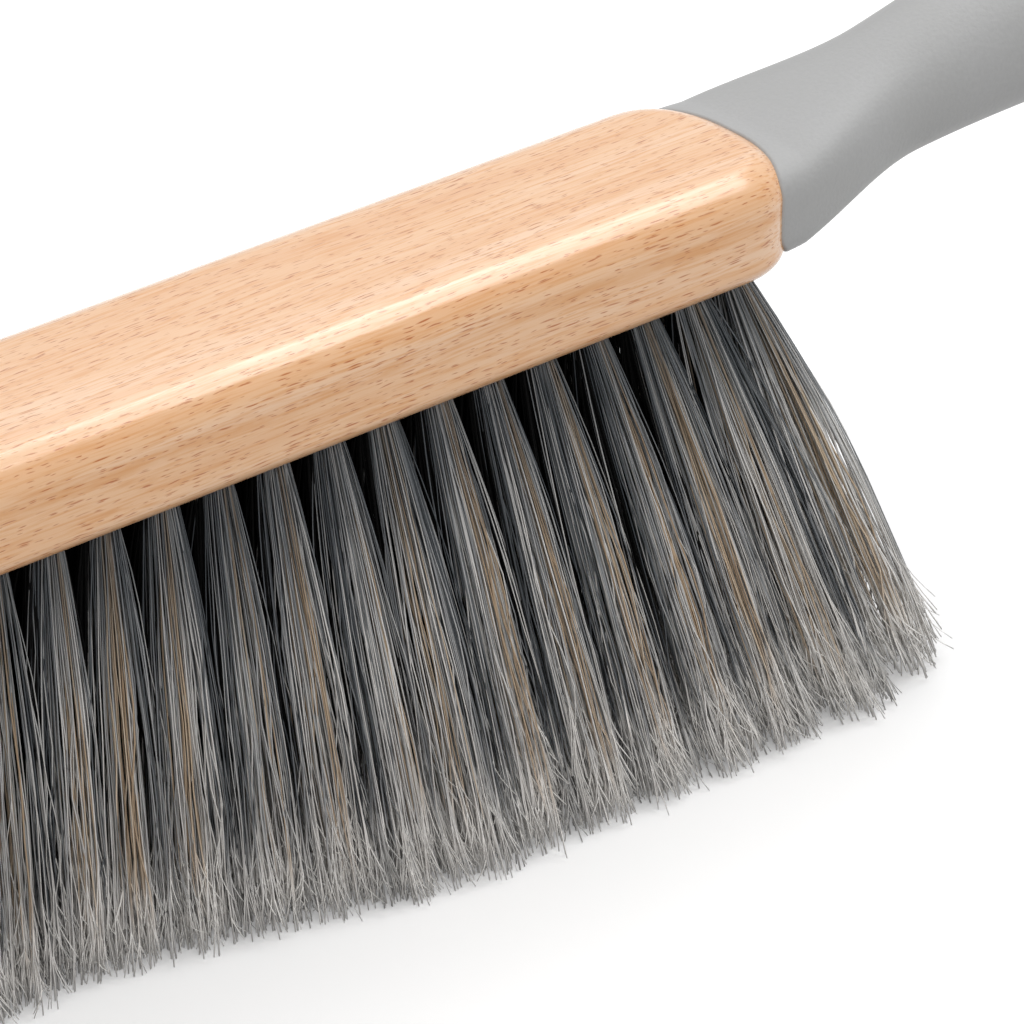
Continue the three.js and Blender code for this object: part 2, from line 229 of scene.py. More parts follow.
def feed(tree, node, inputs):
    """Sets a node's inputs, by name or number, each to a value or to another node's output."""
    for socket, value in inputs.items():
        if isinstance(value, bpy.types.NodeSocket):
            tree.links.new(value, node.inputs[socket])
        else:
            node.inputs[socket].default_value = value


def add(tree, kind, inputs=None, stops=(), **settings):
    """Adds a node with its settings and inputs, and gives its outputs. Each stop of a ramp is a place and an
    sRGB hex colour."""
    node = tree.nodes.new(kind)
    for setting, value in settings.items():
        setattr(node, setting, value)
    for i, (place, code) in enumerate(stops):
        stop = node.color_ramp.elements[i] if i < 2 else node.color_ramp.elements.new(place)
        stop.position = place
        stop.color = linear(code)
    feed(tree, node, inputs or {})
    return node.outputs


def smooth(share):
    share = np.clip(share, 0, 1)
    return share * share * (3 - 2 * share)


def ease(start, end, share):
    return start + (end - start) * smooth(share)


def power(value, exponent):
    return np.sign(value) * np.abs(value) ** exponent


# Materials

def new_material(name):
    """An empty node material with its Principled shader."""
    material = bpy.data.materials.new(name)
    material.use_nodes = True
    tree = material.node_tree
    return material, tree, tree.nodes["Principled BSDF"]


def lacquered_beech():
    """Steamed beech, planed, rounded and satin lacquered.

    The eye gets a warm peach ground with broad soft bands, hair-fine straight grain and many short brown rays
    along it, which turn to dots where the ends cut across the grain, all under a soft gloss."""
    material, tree, shader = new_material("lacquered_steamed_beech")
    place = add(tree, "ShaderNodeTexCoord")["Object"]
    mm = add(tree, "ShaderNodeVectorMath", {0: place, 1: (1 / MM,) * 3}, operation="MULTIPLY")[0]

    # The grain wanders sideways by about a millimetre over some centimetres
    slow = add(tree, "ShaderNodeVectorMath", {0: mm, 1: (1 / 45, 1 / 16, 1 / 16)}, operation="MULTIPLY")[0]
    sway = add(tree, "ShaderNodeTexNoise", {"Vector": slow, "Scale": 1, "Detail": 1})["Color"]
    swing = add(
        tree, "ShaderNodeVectorMath", {0: sway, 1: (0, 2.4, 2.4), 2: mm}, operation="MULTIPLY_ADD",
    )[0]

    # Noise in the wood, each with its length along the grain, its width across it and its detail: broad bands
    # of growth, fine grain lines, patches that make the edge line uneven, and the crook of the rays
    noise = {}
    for title, wood, length, width, detail in (
        ("bands", swing, 120, 4, 3), ("lines", swing, 9, 0.35, 3),
        ("patches", mm, 7, 2, 3), ("crook", mm, 3, 3, 1),
    ):
        cells = add(
            tree, "ShaderNodeVectorMath", {0: wood, 1: (1 / length, 1 / width, 1 / width)},
            operation="MULTIPLY",
        )[0]
        noise[title] = add(tree, "ShaderNodeTexNoise", {"Vector": cells, "Scale": 1, "Detail": detail})
    lines = noise["lines"]["Fac"]
    ground = add(
        tree, "ShaderNodeValToRGB", {"Fac": noise["bands"]["Fac"]},
        stops=((0.3, "#E6B182"), (0.5, "#ECBD91"), (0.7, "#F0C8A4")),
    )[0]
    line_share = add(tree, "ShaderNodeMapRange", {0: lines, 1: 0.46, 2: 0.7, 3: 0, 4: 0.75})[0]

    # An uneven darker orange line runs along the foot of the top's rounded edge
    height = add(tree, "ShaderNodeSeparateXYZ", {0: swing})[2]
    below = add(tree, "ShaderNodeMath", {0: EDGE_LINE_HEIGHT, 1: height}, operation="SUBTRACT")[0]
    away = add(tree, "ShaderNodeMath", {0: below}, operation="ABSOLUTE")[0]
    on_line = add(
        tree, "ShaderNodeMapRange", {0: away, 1: 0.2, 2: 1.5, 3: 1, 4: 0}, interpolation_type="SMOOTHSTEP",
    )[0]
    uneven = add(
        tree, "ShaderNodeMapRange", {0: noise["patches"]["Fac"], 1: 0.35, 2: 0.65, 3: 0.15, 4: 0.7},
    )[0]
    line_depth = add(tree, "ShaderNodeMath", {0: on_line, 1: uneven}, operation="MULTIPLY")[0]
    layers = [(line_share, "#DA9653"), (line_depth, "#D9954F")]

    # Rays: crooked brown dashes in some of the cells of a stretched pattern. Each kind has the cell's length
    # and width, the share of cells left empty, the dash's part of its cell and its strength.
    crooked = add(
        tree, "ShaderNodeVectorMath", {0: noise["crook"]["Color"], 1: (0, 0.4, 0.4), 2: swing},
        operation="MULTIPLY_ADD",
    )[0]
    dips = []
    for length, width, empty, part, strength in (
        (4.6, 0.38, 0.36, 0.38, 0.95), (2.4, 0.3, 0.46, 0.36, 0.9),
    ):
        cell = add(
            tree, "ShaderNodeVectorMath", {0: crooked, 1: (1 / length, 1 / width, 1 / width)},
            operation="MULTIPLY",
        )
        rays = add(tree, "ShaderNodeTexVoronoi", {"Vector": cell[0], "Scale": 1})
        chance = add(tree, "ShaderNodeSeparateColor", {0: rays["Color"]})
        chosen = add(tree, "ShaderNodeMapRange", {0: chance[0], 1: empty, 2: empty + 0.08})[0]
        size = add(tree, "ShaderNodeMapRange", {0: chance[1], 3: 0.6 * part, 4: part})[0]
        dense = add(tree, "ShaderNodeMath", {0: size, 1: 0.5}, operation="MULTIPLY")[0]
        core = add(tree, "ShaderNodeMapRange", {0: rays["Distance"], 1: size, 2: dense})[0]
        depth = add(tree, "ShaderNodeMapRange", {0: chance[2], 3: 0.6 * strength, 4: strength})[0]
        dash = add(tree, "ShaderNodeMath", {0: chosen, 1: core}, operation="MULTIPLY")[0]
        share = add(tree, "ShaderNodeMath", {0: dash, 1: depth}, operation="MULTIPLY")[0]
        layers.append((share, "#B05A0A"))
        dips.append(share)
    colour = ground
    for share, code in layers:
        colour = add(
            tree, "ShaderNodeMix", {0: share, 6: colour, 7: linear(code)}, data_type="RGBA",
        )[2]

    # The lacquer sinks a little into rays and grain
    gloss = add(tree, "ShaderNodeMapRange", {0: lines, 1: 0.3, 2: 0.8, 3: 0.34, 4: 0.46})[0]
    dip = add(tree, "ShaderNodeMath", {0: dips[0], 1: dips[1]}, operation="ADD")[0]
    raised = add(tree, "ShaderNodeMath", {0: lines, 1: 0.5}, operation="MULTIPLY")[0]
    relief = add(tree, "ShaderNodeMath", {0: raised, 1: dip}, operation="SUBTRACT")[0]
    bump = add(tree, "ShaderNodeBump", {"Strength": 0.15, "Distance": 0.05 * MM, "Height": relief})[0]
    feed(tree, shader, {
        "Base Color": colour, "Roughness": gloss, "Normal": bump, "IOR": 1.5, "Specular IOR Level": 0.15,
        "Coat Weight": 1, "Coat Roughness": 0.18,
    })
    return material


def soft_touch_grey():
    """Soft-touch thermoplastic moulded over a stiff core in a finely etched tool.

    The eye gets an even mid grey with a soft sheen and a fine pebbled skin that breaks the light up."""
    material, tree, shader = new_material("moulded_soft_touch_thermoplastic")
    place = add(tree, "ShaderNodeTexCoord")["Object"]
    # Etched pebbles 0.6 mm across
    pebbles = add(tree, "ShaderNodeTexNoise", {"Vector": place, "Scale": 1 / (0.6 * MM), "Detail": 2})
    # Clouding from the melt's flow, 30 mm across
    flow = add(tree, "ShaderNodeTexNoise", {"Vector": place, "Scale": 1 / (30 * MM), "Detail": 2})
    tone = add(
        tree, "ShaderNodeValToRGB", {"Fac": flow["Fac"]}, stops=((0.3, "#A6A6A5"), (0.7, "#ACACAC")),
    )
    # Painted shade: the pebbles' hollows are drawn a little darker
    pebble_hollow_shade = add(tree, "ShaderNodeMapRange", {0: pebbles["Fac"], 1: 0.3, 2: 0.7, 3: 0.14, 4: 0})
    colour = add(
        tree, "ShaderNodeMix", {0: pebble_hollow_shade[0], 6: tone[0], 7: linear("#8A8A8A")}, data_type="RGBA",
    )[2]
    rough = add(tree, "ShaderNodeMapRange", {0: pebbles["Fac"], 1: 0.3, 2: 0.7, 3: 0.4, 4: 0.5})[0]
    bump = add(
        tree, "ShaderNodeBump", {"Strength": 0.5, "Distance": 0.1 * MM, "Height": pebbles["Fac"]},
    )[0]
    feed(tree, shader, {
        "Base Color": colour, "Roughness": rough, "Normal": bump, "IOR": 1.5, "Specular IOR Level": 0.35,
    })
    return material


def flagged_filament():
    """Soft polyester filament, drawn in a blend of greys and tans, with ends split by flagging.

    The eye gets slate, mid grey and pale hairs with streaks of tan among them, paler towards the tips, and
    pale, frayed tips. Painted shade darkens every fibre near the block and turns the inner roots near black,
    and painted light whitens the frayed tips further. Each fibre carries its place in the blend as tint, its
    way from root to tip as along, and 1 as shade if its root is painted near black for the shade among the
    inner roots."""
    material, tree, shader = new_material("drawn_polyester_filament")
    tint = add(tree, "ShaderNodeAttribute", attribute_name="tint")["Fac"]
    along = add(tree, "ShaderNodeAttribute", attribute_name="along")["Fac"]
    inner = add(tree, "ShaderNodeAttribute", attribute_name="shade")["Fac"]
    blend = add(tree, "ShaderNodeValToRGB", {"Fac": tint}, stops=(
        (0, "#515559"), (0.16, "#7A7E82"), (0.34, "#A9ACAF"), (0.5, "#D2D2D0"), (GREYS_END, "#F5F3F0"),
        (TANS_START, "#AF916F"), (0.85, "#CCB292"), (1, "#E6D3BA"),
    ))[0]
    # Painted shade: every fibre is drawn darker near its root, for the shadow under the block
    painted_shade_under_block = add(
        tree, "ShaderNodeMapRange", {0: along, 1: 0.05, 2: 0.55, 3: 0.75, 4: 0},
        interpolation_type="SMOOTHSTEP",
    )[0]
    # Fibres are drawn paler towards their tips, dark ones and tans less so
    tan_paling = add(tree, "ShaderNodeMapRange", {0: tint, 1: GREYS_END, 2: TANS_START, 3: 0.75, 4: 0.2})[0]
    paling = add(tree, "ShaderNodeMapRange", {0: tint, 1: 0.1, 2: 0.45, 3: 0, 4: tan_paling})[0]
    paler_to_tips = add(tree, "ShaderNodeMapRange", {0: along, 1: 0.15, 2: 0.85, 3: 0, 4: paling})[0]
    # Pale frayed tips: split ends are paler, and they are whitened further as painted light for the light
    # they catch
    tip_paleness = add(tree, "ShaderNodeMapRange", {0: tint, 1: 0, 2: 0.3, 3: 0.55, 4: 1})[0]
    frayed_and_lit_tips = add(
        tree, "ShaderNodeMapRange", {0: along, 1: 0.78, 2: 0.96, 3: 0, 4: tip_paleness},
        interpolation_type="SMOOTHSTEP",
    )[0]
    # Painted shade: fibres flagged with shade are drawn near black at their roots, for the dark between the
    # tufts
    root_shade_fade = add(
        tree, "ShaderNodeMapRange", {0: along, 1: 0.55, 2: 0.98, 3: 1, 4: 0}, interpolation_type="SMOOTHSTEP",
    )[0]
    painted_root_shade = add(tree, "ShaderNodeMath", {0: root_shade_fade, 1: inner}, operation="MULTIPLY")[0]
    colour = blend
    for share, code in (
        (painted_shade_under_block, "#4A4E52"), (paler_to_tips, "#DDD9D4"), (frayed_and_lit_tips, "#FBF8F4"), (painted_root_shade, "#050505"),
    ):
        colour = add(
            tree, "ShaderNodeMix", {0: share, 6: colour, 7: linear(code)}, data_type="RGBA",
        )[2]
    # Smooth fibres shine, and the roots painted near black for shade don't
    rough = add(tree, "ShaderNodeMapRange", {0: painted_root_shade, 3: 0.3, 4: 1})[0]
    feed(tree, shader, {"Base Color": colour, "Roughness": rough, "IOR": 1.5, "Specular IOR Level": 0.2})
    return material


def plain_steel():
    """Mild steel, drawn and tumbled bright: grey metal with faint fine scratches."""
    material, tree, shader = new_material("tumbled_mild_steel")
    place = add(tree, "ShaderNodeTexCoord")["Object"]
    scratch = add(tree, "ShaderNodeTexNoise", {"Vector": place, "Scale": 1 / (0.3 * MM), "Detail": 3})
    tone = add(
        tree, "ShaderNodeValToRGB", {"Fac": scratch["Fac"]},
        stops=((0.3, "#A3A5A8"), (0.7, "#B9BBBE")),
    )
    rough = add(tree, "ShaderNodeMapRange", {0: scratch["Fac"], 1: 0.3, 2: 0.7, 3: 0.26, 4: 0.42})[0]
    feed(tree, shader, {"Base Color": tone[0], "Roughness": rough, "Metallic": 1})
    return material


def drawn_brass():
    """Flat anchor wire of drawn brass: yellow metal, a little dull along its drawing lines."""
    material, tree, shader = new_material("drawn_brass_wire")
    place = add(tree, "ShaderNodeTexCoord")["Object"]
    # Drawing lines 0.25 mm apart and 50 mm long
    drawn = add(
        tree, "ShaderNodeVectorMath", {0: place, 1: (1 / (50 * MM), 1 / (0.25 * MM), 1 / (0.25 * MM))},
        operation="MULTIPLY",
    )
    lines = add(tree, "ShaderNodeTexNoise", {"Vector": drawn[0], "Scale": 1, "Detail": 2})
    tone = add(
        tree, "ShaderNodeValToRGB", {"Fac": lines["Fac"]}, stops=((0.3, "#A98F55"), (0.7, "#C6AE74")),
    )
    feed(tree, shader, {"Base Color": tone[0], "Roughness": 0.35, "Metallic": 1})
    return material


# Shapes

def new_piece(name, points, faces):
    """A mesh object of points in the block's millimetres."""
    mesh = bpy.data.meshes.new(name)
    mesh.from_pydata((np.asarray(points) + BLOCK_ORIGIN) * MM, [], faces)
    piece = bpy.data.objects.new(name, mesh)
    bpy.context.scene.collection.objects.link(piece)
    return piece


def loft(rings):
    """Points and faces of a skin over rings of equally many points, closed at both ends."""
    count = len(rings[0])
    faces = []
    for r in range(len(rings) - 1):
        for p in range(count):
            a, b = r * count + p, r * count + (p + 1) % count
            faces.append((a, b, b + count, a + count))
    last = (len(rings) - 1) * count
    faces.append(tuple(reversed(range(count))))
    faces.append(tuple(range(last, last + count)))
    return np.concatenate(rings), faces


def shade(piece, material, sharp_degrees):
    """Gives a piece its material and smooth shading, with edges over an angle kept sharp."""
    piece.data.materials.clear()
    piece.data.materials.append(material)
    piece.data.shade_smooth()
    piece.data.set_sharp_from_angle(angle=math.radians(sharp_degrees))


def plain_copy(piece, name):
    """The piece with its modifiers applied, as a new object, with the old one removed."""
    evaluated = piece.evaluated_get(bpy.context.evaluated_depsgraph_get())
    made = bpy.data.objects.new(name, bpy.data.meshes.new_from_object(evaluated))
    bpy.context.scene.collection.objects.link(made)
    bpy.data.objects.remove(piece)
    return made


def run_tree(piece, tree, name, values):
    """Applies a node tree to a piece, with its inputs set by their identifiers."""
    modifier = piece.modifiers.new(tree.name, "NODES")
    modifier.node_group = tree
    for item in tree.interface.items_tree:
        if item.in_out == "INPUT" and item.name in values:
            modifier[item.identifier] = values[item.name]
    return plain_copy(piece, name)


def new_tree(name, inputs):
    """An empty geometry tree with named inputs, and its input and output nodes."""
    tree = bpy.data.node_groups.new(name, "GeometryNodeTree")
    for title, kind in inputs.items():
        tree.interface.new_socket(title, in_out="INPUT", socket_type="NodeSocket" + kind)
    tree.interface.new_socket("Geometry", in_out="OUTPUT", socket_type="NodeSocketGeometry")
    return tree, add(tree, "NodeGroupInput"), tree.nodes.new("NodeGroupOutput")


# Tufts

def ring_roots():
    """Roots of the outer ring of tufts, evenly spaced along a line with two straights and two half rounds."""
    arc = math.pi * RING_OFFSET
    length = 4 * RING_STRAIGHT + 2 * arc
    count = 4 * round((length / TUFT_PITCH - 2) / 4) + 2
    step = length / count
    roots = []
    for i in range(count):
        d = (i + 0.5) * step
        sign = 1
        if d >= length / 2:
            d -= length / 2
            sign = -1
        if d <= RING_STRAIGHT:
            x, y = d, -RING_OFFSET
        elif d <= RING_STRAIGHT + arc:
            angle = (d - RING_STRAIGHT) / RING_OFFSET
            x, y = RING_STRAIGHT + RING_OFFSET * math.sin(angle), -RING_OFFSET * math.cos(angle)
        else:
            x, y = RING_STRAIGHT - (d - RING_STRAIGHT - arc), RING_OFFSET
        roots.append((sign * x, sign * y))
    return np.array(roots), step


def middle_roots(step, screw_xs):
    """Roots of the middle row, from near the front end to just before the screws."""
    front = math.floor((BLOCK_END - RING_END_MARGIN - MIDDLE_ROW_GAP) / step)
    back = math.floor((min(screw_xs) - MIDDLE_ROW_TO_SCREW) / step)
    return np.array([(i * step, 0.0) for i in range(-front, back + 1)])


def tips_of(roots):
    """Where the middle of each tuft's tips lies: fanned out to the ends and leant out to the sides."""
    x, y = roots.T
    reach = np.abs(x) / BLOCK_END
    lean = ease(MIDDLE_LEAN, END_LEAN, reach / LEAN_REACH)
    tips = np.column_stack([x + np.sign(x) * END_FAN * reach ** FAN_POWER, y * (1 + lean / RING_OFFSET)])
    return np.column_stack([tips, np.full(len(tips), -TRIM_LENGTH)])


def spine_of(roots):
    """The point on the block's middle line that lies straight in from each root."""
    return np.column_stack([np.clip(roots[:, 0], -RING_STRAIGHT, RING_STRAIGHT), np.zeros(len(roots))])


def inward_of(roots):
    """The way from each root straight in to the block's middle line, of length 1, or 0 for the middle row."""
    way = spine_of(roots) - roots
    way /= np.maximum(np.linalg.norm(way, axis=1, keepdims=True), 1e-9)
    return np.column_stack([way, np.zeros(len(roots))])


def bristle_tree():
    """A tree that grows soft fibres from tuft roots.

    Each root point knows its tuft's number, the middle of its tips and the way in to the block's middle line.
    Fibres fill the tuft's round root, open out towards the tips in locks, and end in thin split hairs.
    A fibre is a three-sided tube that is bent into place."""
    tree, given, result = new_tree("grow_bristles", {
        "Geometry": "Geometry", "Fibres": "Int", "Split ends": "Int", "Seed": "Int", "Material": "Material",
        **{title: "Float" for title in BRISTLES},
    })

    # What each fibre draws by chance: numbers, and ways with a part along each axis
    drawn = {}
    for number, (title, low, high) in enumerate((
        ("turn", 0, 2 * math.pi), ("far", 0, 1), ("tone", 0, 1), ("tan", 0, 0.45), ("thick", 0.7, 1.3),
        ("short", 0, 1), ("wild", 0, 1), ("kink", 0, 1), ("fill", 0, 1), ("pull", 0.1, 0.9),
        ("ruffle", -0.25, 0.25), ("start", -0.1, 0.05),
        ("stray", (-1, -1, 0), (1, 1, 0)), ("bow", (-1, -1, 0), (1, 1, 0)), ("phase", (0, 0, 0), (6, 6, 6)),
        ("pitch", (9, 9, 9), (20, 20, 20)), ("fray", (-1, -1, 0), (1, 1, 1)),
    )):
        seed = add(tree, "ShaderNodeMath", {0: given["Seed"], 1: number}, operation="ADD")[0]
        kind, first, output = ("FLOAT_VECTOR", 0, 0) if isinstance(low, tuple) else ("FLOAT", 2, 1)
        drawn[title] = add(
            tree, "FunctionNodeRandomValue", {first: low, first + 1: high, 8: seed}, data_type=kind,
        )[output]

    # What the roots, fibres and tubes keep
    kept = {}
    for kind, titles in (
        ("FLOAT_VECTOR", ("tip", "core", "inward", "root", "axis", "side", "bow", "phase", "pitch", "fray")),
        ("FLOAT", (
            "tuft", "flare", "gather", "fill", "crowd", "wave",
            "tint", "shade", "thick", "length", "start", "way",
        )),
    ):
        for title in titles:
            kept[title] = add(tree, "GeometryNodeInputNamedAttribute", {0: title}, data_type=kind)[0]
    position = add(tree, "GeometryNodeInputPosition")[0]

    # A fibre's spot in the tuft's round root, in tuft radii
    far = add(tree, "ShaderNodeMath", {0: drawn["far"]}, operation="SQRT")[0]
    arm = add(tree, "ShaderNodeCombineXYZ", {0: far})[0]
    spot = add(
        tree, "ShaderNodeVectorRotate", {"Vector": arm, "Angle": drawn["turn"]}, rotation_type="Z_AXIS",
    )[0]
    radius = given["Tuft radius"]
    root = add(
        tree, "ShaderNodeVectorMath", {0: spot, 1: radius, 2: position}, operation="MULTIPLY_ADD",
    )[0]
    inner = add(
        tree, "ShaderNodeVectorMath", {0: spot, 1: kept["inward"]}, operation="DOT_PRODUCT",
    )["Value"]

    # Some of the inner fibres point in, which fills the space between the rows
    is_inner = add(tree, "ShaderNodeMath", {0: inner, 1: 0}, operation="GREATER_THAN")[0]
    may_fill = add(
        tree, "ShaderNodeMath", {0: drawn["fill"], 1: kept["fill"]}, operation="LESS_THAN",
    )[0]
    fills = add(tree, "ShaderNodeMath", {0: is_inner, 1: may_fill}, operation="MULTIPLY")[0]
    pull = add(tree, "ShaderNodeMix", {0: fills, 2: 1, 3: drawn["pull"]}, data_type="FLOAT")[0]
    tip = add(
        tree, "ShaderNodeMix", {0: pull, 4: kept["core"], 5: kept["tip"]}, data_type="VECTOR",
    )[1]
    axis = add(tree, "ShaderNodeVectorMath", {0: tip, 1: position}, operation="SUBTRACT")[0]

    # Locks: fibres that start close together stay closer towards their tips
    shifted = add(
        tree, "ShaderNodeVectorMath", {0: kept["tuft"], 1: (LOCK_STEP, LOCK_STEP, 0), 2: spot},
        operation="MULTIPLY_ADD",
    )[0]
    lock = add(
        tree, "ShaderNodeTexVoronoi", {"Vector": shifted, "Scale": given["Locks"]}, voronoi_dimensions="2D",
    )
    lock_spot = add(
        tree, "ShaderNodeVectorMath",
        {0: kept["tuft"], 1: (-LOCK_STEP, -LOCK_STEP, 0), 2: lock["Position"]},
        operation="MULTIPLY_ADD",
    )[0]
    gathered = add(
        tree, "ShaderNodeMix", {0: kept["gather"], 4: spot, 5: lock_spot}, data_type="VECTOR",
    )[1]
    spread = add(
        tree, "ShaderNodeCombineXYZ", {0: given["Spread along"], 1: given["Spread across"]},
    )[0]
    flared = add(tree, "ShaderNodeVectorMath", {0: spread, 3: kept["flare"]}, operation="SCALE")[0]
    opened = add(tree, "ShaderNodeVectorMath", {0: gathered, 1: flared}, operation="MULTIPLY")[0]
    moved = add(tree, "ShaderNodeVectorMath", {0: opened, 1: spot}, operation="SUBTRACT")[0]
    is_stray = add(
        tree, "ShaderNodeMath", {0: drawn["wild"], 1: given["Stray share"]}, operation="LESS_THAN",
    )[0]
    wilder = add(
        tree, "ShaderNodeMath", {0: is_stray, 1: STRAY_EXTRA, 2: 1}, operation="MULTIPLY_ADD",
    )[0]
    stray_size = add(tree, "ShaderNodeMath", {0: given["Stray"], 1: wilder}, operation="MULTIPLY")[0]
    stray = add(
        tree, "ShaderNodeVectorMath", {0: drawn["stray"], 3: stray_size}, operation="SCALE",
    )[0]
    side = add(
        tree, "ShaderNodeVectorMath", {0: moved, 1: radius, 2: stray}, operation="MULTIPLY_ADD",
    )[0]

    # Some fibres end short of the trim, and strays most of all
    short = add(tree, "ShaderNodeMath", {0: drawn["short"], 1: SHORT_POWER}, operation="POWER")[0]
    cut = add(
        tree, "ShaderNodeMath", {0: is_stray, 1: STRAY_CUT, 2: short}, operation="MULTIPLY_ADD",
    )[0]
    missing = add(tree, "ShaderNodeMath", {0: cut, 1: given["Ragged"]}, operation="MULTIPLY")[0]
    length = add(tree, "ShaderNodeMath", {0: 1, 1: missing}, operation="SUBTRACT")[0]
    kinked = add(tree, "ShaderNodeMath", {0: drawn["kink"], 1: KINK_POWER}, operation="POWER")[0]
    kinks = add(
        tree, "ShaderNodeMath", {0: kinked, 1: KINK_EXTRA, 2: LEAST_KINK}, operation="MULTIPLY_ADD",
    )[0]
    wave = add(tree, "ShaderNodeMath", {0: kinks, 1: given["Wave"]}, operation="MULTIPLY")[0]
    bow = add(tree, "ShaderNodeVectorMath", {0: drawn["bow"], 3: given["Bow"]}, operation="SCALE")[0]
    stout = add(
        tree, "ShaderNodeMath", {0: kept["flare"], 1: FLARE_STOUTNESS, 2: 1 - FLARE_STOUTNESS},
        operation="MULTIPLY_ADD",
    )[0]
    stouter = add(tree, "ShaderNodeMath", {0: stout, 1: drawn["thick"]}, operation="MULTIPLY")[0]
    thick = add(
        tree, "ShaderNodeMath", {0: given["Fibre radius"], 1: stouter}, operation="MULTIPLY",
    )[0]

    # The blend: a streak of tan somewhere across each tuft, and greys by lock and by fibre. Greys are paler
    # near the streak and darker out at the tuft's sides, partly the blend and partly painted shade on the
    # tuft's body
    across = add(tree, "ShaderNodeSeparateXYZ", {0: spot})[0]
    streak = add(tree, "ShaderNodeTexWhiteNoise", {"W": kept["tuft"]}, noise_dimensions="1D")["Value"]
    streak_place = add(tree, "ShaderNodeMapRange", {0: streak, 3: -STREAK_PLACE, 4: STREAK_PLACE})[0]
    off = add(tree, "ShaderNodeMath", {0: across, 1: streak_place}, operation="SUBTRACT")[0]
    off_streak = add(tree, "ShaderNodeMath", {0: off}, operation="ABSOLUTE")[0]
    reach = add(tree, "ShaderNodeMath", {0: off_streak, 1: drawn["tan"]}, operation="ADD")[0]
    is_tan = add(tree, "ShaderNodeMath", {0: reach, 1: STREAK_REACH}, operation="LESS_THAN")[0]
    lock_tone = add(tree, "ShaderNodeSeparateXYZ", {0: lock["Color"]})[0]
    streak_tone_and_side_shade = add(tree, "ShaderNodeMapRange", {0: off_streak, 3: STREAK_TONE, 4: AWAY_SHADE_TONE})[0]
    # Painted light: the flared end tufts are drawn paler, for the light from behind that shows through them
    end_light_tone = add(
        tree, "ShaderNodeMapRange", {0: kept["flare"], 1: 1, 2: END_FLARE, 3: ROW_TONE, 4: END_LIGHT_TONE},
    )[0]
    grey = add(tree, "ShaderNodeMath", {0: streak_tone_and_side_shade, 1: end_light_tone}, operation="ADD")[0]
    few_pale = add(tree, "ShaderNodeMath", {0: drawn["tone"], 1: PALE_POWER}, operation="POWER")[0]
    for share, tone in ((is_stray, STRAY_TONE), (lock_tone, LOCK_TONE), (few_pale, FIBRE_TONE)):
        grey = add(tree, "ShaderNodeMath", {0: share, 1: tone, 2: grey}, operation="MULTIPLY_ADD")[0]
    grey = add(tree, "ShaderNodeClamp", {0: grey, 1: 0, 2: GREYS_END})[0]
    tan = add(tree, "ShaderNodeMapRange", {0: drawn["tone"], 3: TANS_START, 4: 1})[0]
    tint = add(tree, "ShaderNodeMix", {0: is_tan, 2: grey, 3: tan}, data_type="FLOAT")[0]
    # Painted shade: a fibre deep in the tuft, or out at its sides, past the tuft's threshold is flagged to
    # have its root drawn near black
    sideways = add(tree, "ShaderNodeMath", {0: across, 1: across}, operation="MULTIPLY")[0]
    shade_with_sides = add(
        tree, "ShaderNodeMath", {0: sideways, 1: SIDE_SHADE_REACH, 2: inner}, operation="MULTIPLY_ADD",
    )[0]
    depth = add(tree, "ShaderNodeMath", {0: shade_with_sides, 1: drawn["ruffle"]}, operation="ADD")[0]
    shaded = add(
        tree, "ShaderNodeMath", {0: depth, 1: kept["crowd"]}, operation="GREATER_THAN",
    )[0]

    grown = add(
        tree, "GeometryNodeDuplicateElements", {0: given["Geometry"], 2: given["Fibres"]}, domain="POINT",
    )[0]
    for title, kind, value in (
        ("root", "FLOAT_VECTOR", root), ("axis", "FLOAT_VECTOR", axis), ("side", "FLOAT_VECTOR", side),
        ("bow", "FLOAT_VECTOR", bow), ("phase", "FLOAT_VECTOR", drawn["phase"]),
        ("pitch", "FLOAT_VECTOR", drawn["pitch"]), ("wave", "FLOAT", wave), ("tint", "FLOAT", tint),
        ("shade", "FLOAT", shaded), ("thick", "FLOAT", thick), ("length", "FLOAT", length),
    ):
        grown = add(
            tree, "GeometryNodeStoreNamedAttribute", {0: grown, 2: title, 3: value},
            data_type=kind, domain="POINT",
        )[0]

    # Split ends: thinner hairs that leave the fibre near its tip
    split = add(
        tree, "GeometryNodeDuplicateElements", {0: grown, 2: given["Split ends"]}, domain="POINT",
    )[0]
    fray = add(
        tree, "ShaderNodeVectorMath", {0: drawn["fray"], 3: given["Fray"]}, operation="SCALE",
    )[0]
    leaves = add(
        tree, "ShaderNodeMath", {0: given["Split from"], 1: drawn["start"]}, operation="ADD",
    )[0]
    thinner = add(
        tree, "ShaderNodeMath", {0: kept["thick"], 1: SPLIT_THICKNESS}, operation="MULTIPLY",
    )[0]
    for title, kind, value in (
        ("fray", "FLOAT_VECTOR", fray), ("start", "FLOAT", leaves), ("thick", "FLOAT", thinner),
    ):
        split = add(
            tree, "GeometryNodeStoreNamedAttribute", {0: split, 2: title, 3: value},
            data_type=kind, domain="POINT",
        )[0]

    # An upright tube of unit size for each fibre and each split end, which knows its way from root to tip
    height = add(tree, "ShaderNodeSeparateXYZ", {0: position})[2]
    way = add(tree, "ShaderNodeMath", {0: 0.5, 1: height}, operation="SUBTRACT")[0]
    both = tree.nodes.new("GeometryNodeJoinGeometry")
    for points, bends in ((split, SPLIT_BENDS), (grown, FIBRE_BENDS)):
        tube = add(
            tree, "GeometryNodeMeshCylinder",
            {"Vertices": 3, "Side Segments": bends, "Radius": 1, "Depth": 1},
        )[0]
        tube = add(
            tree, "GeometryNodeStoreNamedAttribute", {0: tube, 2: "way", 3: way},
            data_type="FLOAT", domain="POINT",
        )[0]
        at_origin = add(tree, "GeometryNodeSetPosition", {0: points, 2: (0, 0, 0)})[0]
        tubes = add(tree, "GeometryNodeInstanceOnPoints", {0: at_origin, 2: tube})[0]
        tree.links.new(tubes, both.inputs[0])
    whole = add(tree, "GeometryNodeRealizeInstances", {0: both.outputs[0]})[0]

